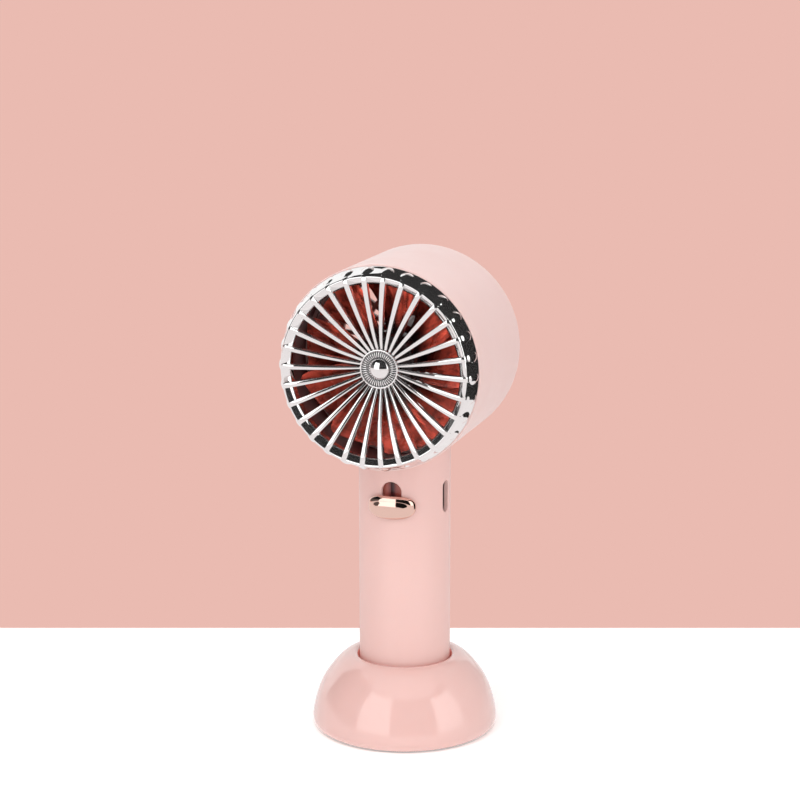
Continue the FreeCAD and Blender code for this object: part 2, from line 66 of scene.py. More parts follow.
def rgb(r, g, b):
    """sRGB 0-255 to linear."""
    def f(v):
        v /= 255.0
        return v / 12.92 if v <= 0.04045 else ((v + 0.055) / 1.055) ** 2.4
    return (f(r), f(g), f(b), 1.0)


# ------------------------------------------------------------------ materials
class Mat:
    """Small helper around one Principled material."""

    def __init__(self, name):
        self.m = bpy.data.materials.new(name)
        self.m.use_nodes = True
        self.t = self.m.node_tree
        self.p = self.t.nodes["Principled BSDF"]
        self._co = None

    def n(self, kind, **kw):
        nd = self.t.nodes.new(kind)
        for k, v in kw.items():
            setattr(nd, k, v)
        return nd

    def link(self, a, b):
        self.t.links.new(a, b)

    def co(self):
        if self._co is None:
            self._co = self.n("ShaderNodeTexCoord").outputs["Object"]
        return self._co

    def noise(self, scale, detail=4.0, rough=0.55, stretch=None):
        src = self.co()
        if stretch:
            mp = self.n("ShaderNodeMapping")
            mp.inputs["Scale"].default_value = stretch
            self.link(src, mp.inputs["Vector"])
            src = mp.outputs["Vector"]
        nz = self.n("ShaderNodeTexNoise")
        nz.inputs["Scale"].default_value = scale
        nz.inputs["Detail"].default_value = detail
        nz.inputs["Roughness"].default_value = rough
        self.link(src, nz.inputs["Vector"])
        return nz.outputs["Fac"]

    def ramp(self, fac, stops):
        r = self.n("ShaderNodeValToRGB")
        els = r.color_ramp.elements
        while len(els) < len(stops):
            els.new(0.5)
        for e, (pos, col) in zip(els, stops):
            e.position = pos
            e.color = col if len(col) == 4 else (*col, 1)
        self.link(fac, r.inputs["Fac"])
        return r.outputs["Color"]

    def rng(self, fac, lo, hi, a=0.0, b=1.0):
        r = self.n("ShaderNodeMapRange")
        r.inputs["From Min"].default_value = a
        r.inputs["From Max"].default_value = b
        r.inputs["To Min"].default_value = lo
        r.inputs["To Max"].default_value = hi
        self.link(fac, r.inputs["Value"])
        return r.outputs["Result"]

    def bump(self, fac, strength, dist, prev=None):
        b = self.n("ShaderNodeBump")
        b.inputs["Strength"].default_value = strength
        b.inputs["Distance"].default_value = dist
        self.link(fac, b.inputs["Height"])
        if prev is not None:
            self.link(prev, b.inputs["Normal"])
        return b.outputs["Normal"]


def plastic(name, base, rough, coat=0.0, grain=2200, grain_d=0.00002, vary=0.035, rvary=0.05, ior=1.5, sss=0.0, wavy=0.0):
    """Moulded plastic: faint tint drift, a fine moulded grain and smudged gloss."""
    k = Mat(name)
    drift = k.noise(26, 3, 0.5)
    fine = k.noise(grain, 2, 0.6)
    lo = tuple(c * (1 - vary) for c in base[:3])
    hi = tuple(min(1.0, c * (1 + vary)) for c in base[:3])
    k.link(k.ramp(drift, [(0.3, lo), (0.7, hi)]), k.p.inputs["Base Color"])
    smudge = k.noise(55, 4, 0.62)
    k.link(k.rng(smudge, rough - rvary, rough + rvary, 0.3, 0.7), k.p.inputs["Roughness"])
    nrm = k.bump(fine, 0.35, grain_d)
    if wavy:
        nrm = k.bump(k.noise(60, 2, 0.4), 0.5, wavy, nrm)
    k.link(nrm, k.p.inputs["Normal"])
    k.p.inputs["Metallic"].default_value = 0.0
    k.p.inputs["IOR"].default_value = ior
    k.p.inputs["Coat Weight"].default_value = coat
    k.p.inputs["Coat Roughness"].default_value = 0.06
    if sss:
        k.p.inputs["Subsurface Weight"].default_value = sss
        k.p.inputs["Subsurface Radius"].default_value = (0.004, 0.0016, 0.0012)
        k.p.inputs["Subsurface Scale"].default_value = 0.6
    return k.m


def metal(name, base, rough, rvary=0.03, scratch=0.0, wavy=0.0, vary=0.03, brushed=None, haze=0.0):
    k = Mat(name)
    lo = tuple(c * (1 - vary) for c in base[:3])
    hi = tuple(min(1.0, c * (1 + vary)) for c in base[:3])
    k.link(k.ramp(k.noise(40, 3), [(0.3, lo), (0.7, hi)]), k.p.inputs["Base Color"])
    if brushed:
        fac = k.noise(300, 3, 0.6, stretch=brushed)
    else:
        fac = k.noise(90, 5, 0.65)
    k.link(k.rng(fac, max(0.01, rough - rvary), rough + rvary, 0.3, 0.7), k.p.inputs["Roughness"])
    nrm = None
    if wavy:
        nrm = k.bump(k.noise(140, 2, 0.5), 0.4, wavy)
    if scratch:
        nrm = k.bump(k.noise(900, 3, 0.7, stretch=brushed or (1, 1, 6)), 0.3, scratch, nrm)
    if nrm is not None:
        k.link(nrm, k.p.inputs["Normal"])
    k.p.inputs["Metallic"].default_value = 1.0 - haze
    return k.m


M = {}
M["rose"] = plastic("rose_gloss", rgb(213, 177, 171), 0.13, coat=0.7, grain=1500, grain_d=0.000005, vary=0.012, rvary=0.03, wavy=0.000015, sss=0.08)
M["rose_satin"] = plastic("rose_satin", rgb(215, 180, 174), 0.38, coat=0.0, grain=2600, grain_d=0.00002, vary=0.012, sss=0.08)
# partly painted light: a paler copy of the rose plastic, lightened so the drum reads as lit from above
M["rose_drum_lit"] = plastic("rose_drum_lit", rgb(215, 188, 184), 0.34, coat=0.0, grain=2600, grain_d=0.00002, vary=0.012, sss=0.08)
# painted shade: this deep red stands for the rose interior plastic dimmed in shadow
M["deep_rose"] = plastic("deep_rose", rgb(150, 42, 36), 0.30, coat=0.2, grain=1800, grain_d=0.00001, vary=0.06)
M["chrome"] = metal("chrome", (0.83, 0.825, 0.825, 1), 0.035, rvary=0.02, wavy=0.000006, haze=0.03)
M["rose_chrome"] = metal("rose_chrome", (0.80, 0.56, 0.48, 1), 0.06, rvary=0.02, wavy=0.000005)


def carrier_material():
    """Plate painted copper-brown as painted shade, darkening further towards its middle as painted shade of the slot.
    """
    k = Mat("carrier_painted_shade")
    sep = k.n("ShaderNodeSeparateXYZ")
    k.link(k.co(), sep.inputs[0])
    ab = k.n("ShaderNodeMath", operation="ABSOLUTE")
    k.link(sep.outputs["X"], ab.inputs[0])
    # painted shade: colour runs from near black at the middle to copper-brown 4.2 mm out
    f = k.rng(ab.outputs[0], 0.0, 1.0, 0.0, 0.0042)
    col = k.ramp(f, [(0.0, rgb(64, 22, 26)), (0.16, rgb(84, 32, 33)), (0.42, rgb(148, 74, 66)), (1.0, rgb(184, 106, 92))])
    mix = k.n("ShaderNodeMixRGB", blend_type="MULTIPLY")
    mix.inputs["Fac"].default_value = 1.0
    k.link(col, mix.inputs["Color1"])
    k.link(k.ramp(k.noise(420, 4), [(0.3, (0.88, 0.88, 0.88)), (0.7, (1.0, 1.0, 1.0))]), mix.inputs["Color2"])
    k.link(mix.outputs["Color"], k.p.inputs["Base Color"])
    k.link(k.rng(k.noise(160, 4), 0.24, 0.38, 0.3, 0.7), k.p.inputs["Roughness"])
    k.link(k.bump(k.noise(2400, 2), 0.3, 0.00001), k.p.inputs["Normal"])
    k.p.inputs["Coat Weight"].default_value = 0.2
    return k.m


M["carrier"] = carrier_material()
# painted shade and glow: saturated salmon for the socket bore so the gap at the handle's rim reads salmon-red
M["rose_bore_glow"] = plastic("rose_bore_glow", rgb(228, 156, 146), 0.35, vary=0.02)
bore = M["rose_bore_glow"].node_tree.nodes["Principled BSDF"]      # painted glow: emission on a part that is no lamp
bore.inputs["Emission Color"].default_value = rgb(235, 130, 116)
bore.inputs["Emission Strength"].default_value = 0.14
# painted shade: near-black metal for the flute grooves, where shade falls
M["groove"] = metal("groove", (0.035, 0.034, 0.034, 1), 0.35)
# painted shade: dark rose for the drum's inner wall, which is the same pink plastic in shadow
M["inner_rose_painted_shade"] = plastic("inner_rose_painted_shade", rgb(120, 44, 40), 0.45, vary=0.08)
M["steel"] = metal("steel", (0.56, 0.56, 0.57, 1), 0.28, rvary=0.08, scratch=0.000004)
M["zinc_steel"] = metal("zinc_steel", (0.50, 0.51, 0.53, 1), 0.38, rvary=0.08, scratch=0.000006)
M["white_plastic"] = plastic("white_plastic", rgb(225, 222, 216), 0.5)
M["dark_plastic"] = plastic("dark_plastic", rgb(38, 38, 41), 0.45, vary=0.15)
M["soft_pad"] = plastic("soft_pad", rgb(64, 60, 60), 0.85, grain=900, grain_d=0.0001, vary=0.2)
M["bronze"] = metal("bronze", (0.62, 0.43, 0.22, 1), 0.42, rvary=0.1, scratch=0.00001)
M["magnet"] = metal("magnet", (0.10, 0.10, 0.11, 1), 0.55)
M["cell_wrap"] = plastic("cell_wrap", rgb(48, 110, 150), 0.3, coat=0.3)
M["board"] = plastic("board", rgb(20, 84, 50), 0.35, coat=0.4, vary=0.12)
M["nickel"] = metal("nickel", (0.62, 0.60, 0.55, 1), 0.3)
M["wire"] = plastic("wire", rgb(170, 30, 28), 0.5)



def rotor_material():
    """Translucent-looking red plastic, nearly black round the hub, with painted shadow streaks of the ribs."""
    k = Mat("rotor_red")
    mp = k.n("ShaderNodeMapping")
    mp.inputs["Location"].default_value = (0, 0, -HZ * MM)
    mp.inputs["Scale"].default_value = (1, 0, 1)
    k.link(k.co(), mp.inputs["Vector"])
    ln = k.n("ShaderNodeVectorMath", operation="LENGTH")
    k.link(mp.outputs["Vector"], ln.inputs[0])
    r = k.rng(ln.outputs["Value"], 0.0, 1.0, 0.010, 0.036)
    col = k.ramp(r, [(0.0, rgb(22, 14, 14)), (0.16, rgb(34, 18, 17)), (0.40, rgb(148, 56, 43)), (1.0, rgb(192, 76, 60))])
    # painted shadow: streaks that run out from the hub stand for the ribs' shadows on the blades, with slow drift
    # between them
    sep = k.n("ShaderNodeSeparateXYZ")
    k.link(mp.outputs["Vector"], sep.inputs[0])
    ang = k.n("ShaderNodeMath", operation="ARCTAN2")
    k.link(sep.outputs["Z"], ang.inputs[0])
    k.link(sep.outputs["X"], ang.inputs[1])
    comb = k.n("ShaderNodeCombineXYZ")
    k.link(ang.outputs[0], comb.inputs["X"])
    k.link(k.rng(ln.outputs["Value"], 0.0, 0.9, 0.0, 0.036), comb.inputs["Y"])
    rib_shadow_noise = k.n("ShaderNodeTexNoise")
    rib_shadow_noise.inputs["Scale"].default_value = 8.5
    rib_shadow_noise.inputs["Detail"].default_value = 5.0
    rib_shadow_noise.inputs["Roughness"].default_value = 0.6
    k.link(comb.outputs[0], rib_shadow_noise.inputs["Vector"])
    mix = k.n("ShaderNodeMixRGB", blend_type="MULTIPLY")
    mix.inputs["Fac"].default_value = 1.0
    k.link(col, mix.inputs["Color1"])
    # painted shadow: the streak noise darkens the red in bands
    k.link(k.ramp(rib_shadow_noise.outputs["Fac"], [(0.36, (0.26, 0.30, 0.32)), (0.50, (0.72, 0.72, 0.72)), (0.62, (1.0, 1.0, 1.0))]), mix.inputs["Color2"])
    k.link(mix.outputs["Color"], k.p.inputs["Base Color"])
    k.link(k.rng(k.noise(70, 4), 0.20, 0.34, 0.3, 0.7), k.p.inputs["Roughness"])
    k.link(k.bump(k.noise(1800, 2), 0.3, 0.00001), k.p.inputs["Normal"])
    k.p.inputs["Coat Weight"].default_value = 0.25
    k.p.inputs["Coat Roughness"].default_value = 0.08
    return k.m


M["rotor"] = rotor_material()

slots = {s["node"]: s["material_slot"] for s in frame["record"]["subparts"]}
for name, ob in frame["nodes"].items():
    mat = {"switch_knob": M["rose_chrome"], "switch_carrier": M["carrier"]}.get(name, M[slots[name]])
    if len(ob.material_slots) == 0:
        ob.data.materials.append(mat)
    for s in ob.material_slots:
        s.material = mat


# ------------------------------------------------------------------ mesh tools
def obj_from(name, verts, faces, mat, body, node=None, slot=None, sharp=32, smooth=True):
    me = bpy.data.meshes.new(name)
    me.from_pydata([tuple(c * MM for c in v) for v in verts], [], faces)
    me.validate()
    me.update()
    ob = bpy.data.objects.new(name, me)
    scene.collection.objects.link(ob)
    finish_mesh(ob, sharp, smooth)
    me.materials.append(mat)
    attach(ob, body)
    if node:
        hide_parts(*([node] if isinstance(node, str) else node))
    return ob


def finish_mesh(ob, sharp=32, smooth=True):
    me = ob.data
    bm = bmesh.new()
    bm.from_mesh(me)
    bmesh.ops.remove_doubles(bm, verts=bm.verts, dist=1e-7)
    bmesh.ops.recalc_face_normals(bm, faces=bm.faces)
    bm.to_mesh(me)
    bm.free()
    if smooth:
        for p in me.polygons:
            p.use_smooth = True
        me.set_sharp_from_angle(angle=math.radians(sharp))


def arc_corner(pts, radii, steps=6):
    """Closed outline with each corner rounded to its own radius."""
    out = []
    n = len(pts)
    for i in range(n):
        p0, p1, p2 = (np.array(pts[j % n], float) for j in (i - 1, i, i + 1))
        r = radii[i] if isinstance(radii, (list, tuple)) else radii
        a = p0 - p1
        b = p2 - p1
        la, lb = np.linalg.norm(a), np.linalg.norm(b)
        if r <= 0 or la < 1e-9 or lb < 1e-9:
            out.append(tuple(p1))
            continue
        a /= la
        b /= lb
        half = math.acos(max(-1, min(1, float(a @ b)))) / 2
        if half > math.radians(88):
            out.append(tuple(p1))
            continue
        cut = min(r / math.tan(half), la * 0.49, lb * 0.49)
        rr = cut * math.tan(half)
        c = p1 + (a + b) / np.linalg.norm(a + b) * (rr / math.sin(half))
        s, e = p1 + a * cut - c, p1 + b * cut - c
        a0 = math.atan2(s[1], s[0])
        a1 = math.atan2(e[1], e[0])
        d = (a1 - a0 + math.pi) % (2 * math.pi) - math.pi
        for k in range(steps + 1):
            t = a0 + d * k / steps
            out.append((c[0] + rr * math.cos(t), c[1] + rr * math.sin(t)))
    return out


def smooth_line(pts, per=8):
    """Centripetal spline through the points."""
    P = [np.array(p, float) for p in pts]
    P = [2 * P[0] - P[1]] + P + [2 * P[-1] - P[-2]]
    out = []
    for i in range(1, len(P) - 2):
        p0, p1, p2, p3 = P[i - 1:i + 3]
        t0 = 0.0
        t1 = t0 + np.linalg.norm(p1 - p0) ** 0.5
        t2 = t1 + np.linalg.norm(p2 - p1) ** 0.5
        t3 = t2 + np.linalg.norm(p3 - p2) ** 0.5
        for k in range(per):
            t = t1 + (t2 - t1) * k / per
            a1 = (t1 - t) / (t1 - t0) * p0 + (t - t0) / (t1 - t0) * p1
            a2 = (t2 - t) / (t2 - t1) * p1 + (t - t1) / (t2 - t1) * p2
            a3 = (t3 - t) / (t3 - t2) * p2 + (t - t2) / (t3 - t2) * p3
            b1 = (t2 - t) / (t2 - t0) * a1 + (t - t0) / (t2 - t0) * a2
            b2 = (t3 - t) / (t3 - t1) * a2 + (t - t1) / (t3 - t1) * a3
            out.append(tuple((t2 - t) / (t2 - t1) * b1 + (t - t1) / (t2 - t1) * b2))
    out.append(tuple(P[-2]))
    return out


def lathe(loop, seg, axis="z", a0=0.0, a1=360.0, radius_fn=None):
    """Turns a closed (radius, height) loop about Z, or about the head's axis."""
    full = abs(a1 - a0) >= 360.0 - 1e-9
    n = seg if full else seg + 1
    verts, faces = [], []
    m = len(loop)
    for i in range(n):
        t = math.radians(a0 + (a1 - a0) * i / seg)
        c, s = math.cos(t), math.sin(t)
        for j, (r, h) in enumerate(loop):
            if radius_fn:
                r, h = radius_fn(r, h, math.degrees(t))
            if axis == "z":
                verts.append((r * c, r * s, h))
            else:
                verts.append((r * c, h, HZ + r * s))
    for i in range(seg):
        i2 = (i + 1) % n
        for j in range(m):
            j2 = (j + 1) % m
            a, b, c_, d = i * m + j, i * m + j2, i2 * m + j2, i2 * m + j
            if loop[j][0] < 1e-9 and loop[j2][0] < 1e-9:
                continue                          # on the axis
            if loop[j][0] < 1e-9:
                faces.append([a, b, c_])
            elif loop[j2][0] < 1e-9:
                faces.append([a, b, d])
            else:
                faces.append([a, b, c_, d])
    if not full:
        faces.append(list(range(m)))
        faces.append([(n - 1) * m + j for j in range(m)][::-1])
    return verts, faces


def join(parts):
    V, F = [], []
    for v, f in parts:
        o = len(V)
        V += v
        F += [[i + o for i in q] for q in f]
    return V, F


def spun(vf, deg):
    """Turned about the head's axis, from +X towards +Z."""
    c, s = math.cos(math.radians(deg)), math.sin(math.radians(deg))
    v, f = vf
    return [(x * c - (z - HZ) * s, y, HZ + x * s + (z - HZ) * c) for x, y, z in v], f


# ---------------------------------------------------------------- front grille
def section(w, h, crown, round_, n=5):
    """Rib section: lateral and outward offsets, from the left foot round the top."""
    pts = [(-w / 2 - 0.08, -h)]
    for k in range(n + 1):
        a = math.pi - (math.pi / 2) * k / n
        pts.append((-w / 2 + round_ + round_ * math.cos(a), -round_ + round_ * math.sin(a)))
    for k in range(1, 6):
        u = -1 + 2 * k / 6
        pts.append((u * (w / 2 - round_), crown * (1 - u * u)))
    for k in range(n + 1):
        a = math.pi / 2 - (math.pi / 2) * k / n
        pts.append((w / 2 - round_ + round_ * math.cos(a), -round_ + round_ * math.sin(a)))
    pts.append((w / 2 + 0.08, -h))
    return pts


RIB_LINE = [(6.6, -32.75), (8.0, -33.5), (10.0, -34.5), (14.0, -36.4), (18.0, -37.95), (22.0, -39.25), (26.0, -40.3),
            (30.0, -41.15), (32.6, -41.6), (34.4, -41.74), (35.6, -41.7), (36.5, -41.45), (37.1, -40.9), (37.5, -40.1)]


def rib():
    line = smooth_line(RIB_LINE, 4)
    verts, faces = [], []
    rows = []
    for i, (r, y) in enumerate(line):
        p0 = np.array(line[max(0, i - 1)])
        p1 = np.array(line[min(len(line) - 1, i + 1)])
        t = (p1 - p0) / np.linalg.norm(p1 - p0)
        nrm = np.array([t[1], -t[0]])            # forward on the face, outward on the band
        if nrm[1] > 0 and r < 36.3:
            nrm = -nrm
        if r >= 36.3 and nrm[0] < 0:
            nrm = -nrm
        u = min(1.0, max(0.0, (r - 7.0) / 27.0))
        w = 1.12 + 0.93 * u
        h = 1.5 + 0.7 * u
        crown, rd = 0.07, 0.26
        if r > 35.6:
            v = min(1.0, (r - 35.6) / 1.6)
            w += 0.5 * v
            h = 2.2 - 1.2 * v
            rd = 0.26 + 0.12 * v
        row = []
        for a, b in section(w, h, crown, rd):
            q = np.array([r, y]) + nrm * (b - crown)
            row.append(len(verts))
            verts.append((q[0], q[1], HZ + a))
        rows.append(row)
    m = len(rows[0])
    for i in range(len(rows) - 1):
        for j in range(m):
            j2 = (j + 1) % m
            faces.append([rows[i][j], rows[i][j2], rows[i + 1][j2], rows[i + 1][j]])
    faces.append(rows[0][::-1])
    faces.append(rows[-1])
    return verts, faces


def dense(pts, step):
    """Adds points so that no straight run is longer than step."""
    out = []
    for i in range(len(pts)):
        p, q = np.array(pts[i]), np.array(pts[(i + 1) % len(pts)])
        n = max(1, int(math.ceil(np.linalg.norm(q - p) / step)))
        for k in range(n):
            out.append(tuple(p + (q - p) * k / n))
    return out


band_line = smooth_line([(36.9, -41.05), (37.3, -40.2), (37.75, -38.9), (38.25, -37.1), (38.8, -35.2), (39.38, -33.6), (39.5, -33.1)], 8)
RING_LOOP = (arc_corner([(33.55, -39.3), (35.95, -41.25), (36.55, -41.45)], [0.0, 0.35, 0.25], 4)[:-1][0:0] +
             [(33.55, -39.0), (33.62, -39.3), (34.4, -40.0), (35.2, -40.68), (35.9, -41.2), (36.2, -41.36), (36.45, -41.4), (36.7, -41.3)] +
             band_line + [(39.42, -33.0), (38.6, -33.0), (37.4, -33.0), (37.4, -29.4), (36.2, -29.4), (36.2, -36.8), (33.8, -38.6)])


def bumped(r, y, deg):
    """Rounded pads on the side band, one in line with each rib."""
    if r > 36.95 and y < -32.99 and y > -41.1:
        pitch = 360.0 / RIBS
        d = (deg - PHASE + pitch / 2) % pitch - pitch / 2
        q = (math.radians(d) * r / 2.45) ** 2 + ((y + 36.9) / 3.2) ** 2
        if q < 1.0:
            return r + 0.80 * (1.0 - q), y
    return r, y


HUB_LOOP = arc_corner([(6.85, -33.0), (7.0, -33.75), (7.6, -33.7), (7.75, -32.6), (7.4, -30.7), (2.05, -30.7), (2.05, -31.9), (6.9, -31.9)],
                      [0.1, 0.25, 0.3, 0.3, 0.2, 0, 0, 0.05], 5)
one = rib()
ring_seg = 24 * RIBS
obj_from("chrome_grille", *join([lathe(RING_LOOP, ring_seg, "y", a0=PHASE, a1=PHASE + 360, radius_fn=bumped), lathe(HUB_LOOP, 120, "y")] +
                                [spun(one, PHASE + i * 360.0 / RIBS) for i in range(RIBS)]),
         M["chrome"], "fan", "front_grille", "chrome", sharp=44)

# hub ring with 44 rounded flutes that run outwards from the cap
FL = 44
flute_loop = [(3.95, -31.9), (3.95, -32.9), (4.15, -33.3), (4.5, -33.62), (5.0, -33.8), (5.8, -33.8), (6.4, -33.66), (6.8, -33.35), (6.98, -32.9), (7.0, -31.9)]


def flute(r, h, deg):
    if h < -32.5:
        w = abs(math.cos(math.radians(deg * FL / 2.0)))
        return r, h + 0.7 * (1 - w) ** 1.6
    return r, h


flutes = obj_from("hub_flutes", *lathe(flute_loop, FL * 12, "y", radius_fn=flute), M["chrome"], "fan", "grille_hub_ring", "chrome", sharp=65)
# painted shade: the flutes' groove faces get the near-black metal
flutes.data.materials.append(M["groove"])
for poly in flutes.data.polygons:
    c = poly.center
    r = math.hypot(c.x, c.z - HZ * MM)
    w = abs(math.cos(math.atan2(c.z - HZ * MM, c.x) * FL / 2.0))
    if 0.00425 < r < 0.0067 and w < 0.44 and c.y < -0.0322:
        poly.material_index = 1

CAP_R, CAP_EDGE = 5.7, 45.5               # cap's sphere radius and its half angle
dome = [(CAP_R * math.sin(math.radians(a)), -33.95 - CAP_R * (math.cos(math.radians(a)) - math.cos(math.radians(CAP_EDGE))))
        for a in np.linspace(0, CAP_EDGE, 14)]
dome = [(max(r, 0.0), h) for r, h in dome] + [(4.1, -33.75), (3.85, -33.4), (3.85, -31.9), (2.0, -31.9), (2.0, -30.8), (0.0, -30.8)]
obj_from("hub_cap", *lathe(dome, 96, "y"), M["chrome"], "fan", "grille_hub_cap", "chrome", sharp=40)

# ------------------------------------------------------------------- base dome
DOME = [(37.6, 3.6), (37.5, 6.0), (36.7, 10.0), (35.2, 15.0), (32.9, 20.0),
        (30.1, 24.0), (27.6, 27.0), (25.3, 29.0), (23.4, 30.1), (21.6, 30.6)]
outer = smooth_line([(36.0, 0.75), (37.0, 1.6), (37.45, 2.6)] + DOME + [(20.4, 30.65), (19.6, 30.35), (19.1, 29.8), (18.85, 29.0)], 6)
loop = [(35.2, 0.6)] + outer + [(18.75, 27.0), (18.75, 6.5), (0.0, 6.5), (0.0, 4.5), (20.75, 4.5), (20.75, 25.6), (24.2, 25.6),
                                 (27.9, 22.6), (30.6, 18.6), (32.6, 14.0), (34.0, 9.6), (34.9, 5.6), (35.1, 3.2)]
shell = obj_from("base_shell", *lathe(loop, 224, "z"), M["rose"], "base", "base_dome", "rose", sharp=40)
shell.data.materials.append(M["rose_bore_glow"])
# painted glow: the socket bore's inward-facing faces get the salmon material
for poly in shell.data.polygons:
    c, n = poly.center, poly.normal
    if math.hypot(c.x, c.y) < 0.0193 and c.z > 0.0068 and n.x * c.x + n.y * c.y < 0 and c.z < 0.0302:
        poly.material_index = 1

def extruded(outline, put0, put1):
    v = [put0(x, z) for x, z in outline] + [put1(x, z) for x, z in outline]
    n = len(outline)
    f = [[i, (i + 1) % n, n + (i + 1) % n, n + i] for i in range(n)]
    f += [list(range(n))[::-1], [n + i for i in range(n)]]
    return v, f


# ------------------------------------------------------------------ head shell
skin = arc_corner([(37.6, -33.0), (40.0, -33.0), (40.0, 28.0), (37.6, 28.0), (37.6, -8.0), (36.0, -8.0), (36.0, -11.0), (37.6, -11.0)],
                  [0.15, 0.32, 2.2, 0.12, 0.0, 0.15, 0.15, 0.0], 10)
shell_loop = dense(skin, 3.0)
# neck: open in front for the switch's shutter, grooved for the handle's rib
low = lathe([(14.2, 110.0), (16.4, 110.0), (16.4, 111.4), (15.5, 111.4), (15.5, 113.0), (16.4, 113.0), (16.4, 114.2), (14.2, 114.2)],
            84, "z", a0=301, a1=599)
top_v, top_f = lathe([(14.2, 114.1), (16.4, 114.1), (16.4, 118.0), (14.2, 118.0)], 96, "z")
top_v = [(x, y, HZ - math.sqrt(38.8 ** 2 - x * x)) if z > 115 else (x, y, z) for x, y, z in top_v]
head = obj_from("head_drum", *join([lathe(shell_loop, 256, "y"), low, (top_v, top_f)]), M["rose_drum_lit"], "fan", "head_shell", "rose_satin", sharp=40)
# painted shade: the drum's inward-facing inner wall gets the dark rose material
head.data.materials.append(M["inner_rose_painted_shade"])
for poly in head.data.polygons:
    c = poly.center
    r = math.hypot(c.x, c.z - HZ * MM)
    n = poly.normal
    if 0.0355 < r < 0.0379 and n.x * c.x + n.z * (c.z - HZ * MM) < 0 and c.y < 0.0265:
        poly.material_index = 1


def cut_round_hole(ob, x, y, z0, z1, r):
    """Upright round hole through a piece (mm)."""
    v, f = extruded([(r * math.cos(2 * math.pi * k / 40), r * math.sin(2 * math.pi * k / 40)) for k in range(40)],
                    lambda a, b: (x + a, y + b, z0), lambda a, b: (x + a, y + b, z1))
    me = bpy.data.meshes.new("cutter")
    me.from_pydata([tuple(c * MM for c in q) for q in v], [], f)
    tool = bpy.data.objects.new("cutter", me)
    scene.collection.objects.link(tool)
    md = ob.modifiers.new("hole", "BOOLEAN")
    md.operation = "DIFFERENCE"
    md.solver = "EXACT"
    md.object = tool
    bpy.context.view_layer.update()
    out = bpy.data.meshes.new_from_object(ob.evaluated_get(bpy.context.evaluated_depsgraph_get()))
    ob.modifiers.clear()
    ob.data = out
    bpy.data.objects.remove(tool)


cut_round_hole(head, 0.0, 9.6, 108.0, 120.0, 4.0)

# --------------------------------------------------------------- switch button
KZ, KW, KH = 96.3, 19.4, 9.0


def pill_outline(off, n=72, power=2.75):
    """Soft lying oval, pulled in by off, as (x, z) points."""
    a, b = KW / 2 - off, max(KH / 2 + 0.1 - off, 0.0)
    pts = []
    for k in range(n):
        t = 2 * math.pi * k / n
        c, s_ = math.cos(t), math.sin(t)
        bb = b if s_ > 0 else b * (1 + 0.25 / (KH / 2 + 0.1))
        pts.append((math.copysign(abs(c) ** (2 / power), c) * a, math.copysign(abs(s_) ** (2 / power), s_) * bb))
    return pts


def button():
    rings = [(0.35, 0.0), (0.12, 0.12), (0.0, 0.4), (0.0, 0.7)]
    for k in range(1, 11):                       # rolled edge
        a = math.pi / 2 * k / 10
        rings.append((2.3 * (1 - math.cos(a)), 0.7 + 1.50 * math.sin(a)))
    for k in range(1, 7):                        # gentle crown
        u = k / 6
        rings.append((2.3 + 2.3 * u, 2.20 + 0.45 * (1 - (1 - u) ** 2)))
    verts, faces, rows = [], [], []

    def put(x, z, d):
        r = 18.72 + d
        return (x, -math.sqrt(max(r * r - x * x, 0.0)), KZ + z)

    back = [(4.6, 0.0), (2.5, 0.0)]
    for off, d in back + rings:
        row = []
        for x, z in pill_outline(off):
            row.append(len(verts))
            verts.append(put(x, z, d))
        rows.append(row)
    m = len(rows[0])
    for i in range(len(rows) - 1):
        for j in range(m):
            j2 = (j + 1) % m
            q = [rows[i][j], rows[i][j2], rows[i + 1][j2], rows[i + 1][j]]
            if i == 0:
                pass
            faces.append(q)
    return verts, faces


def obround(w, z0, z1, n=16):
    r = w / 2
    return ([(r * math.cos(math.pi * k / n), z1 - r + r * math.sin(math.pi * k / n)) for k in range(n + 1)] +
            [(-r * math.cos(math.pi * k / n), z0 + r - r * math.sin(math.pi * k / n)) for k in range(n + 1)])


stem = extruded(obround(7.2, KZ - 4.1, KZ + 3.3),
                lambda x, z: (x, -math.sqrt(16.21 ** 2 - x * x), z), lambda x, z: (x, -math.sqrt(18.8 ** 2 - x * x), z))
knob = obj_from("switch_button", *join([button(), stem]), M["rose_chrome"], "switch_knob", "switch_knob", "chrome", sharp=35)

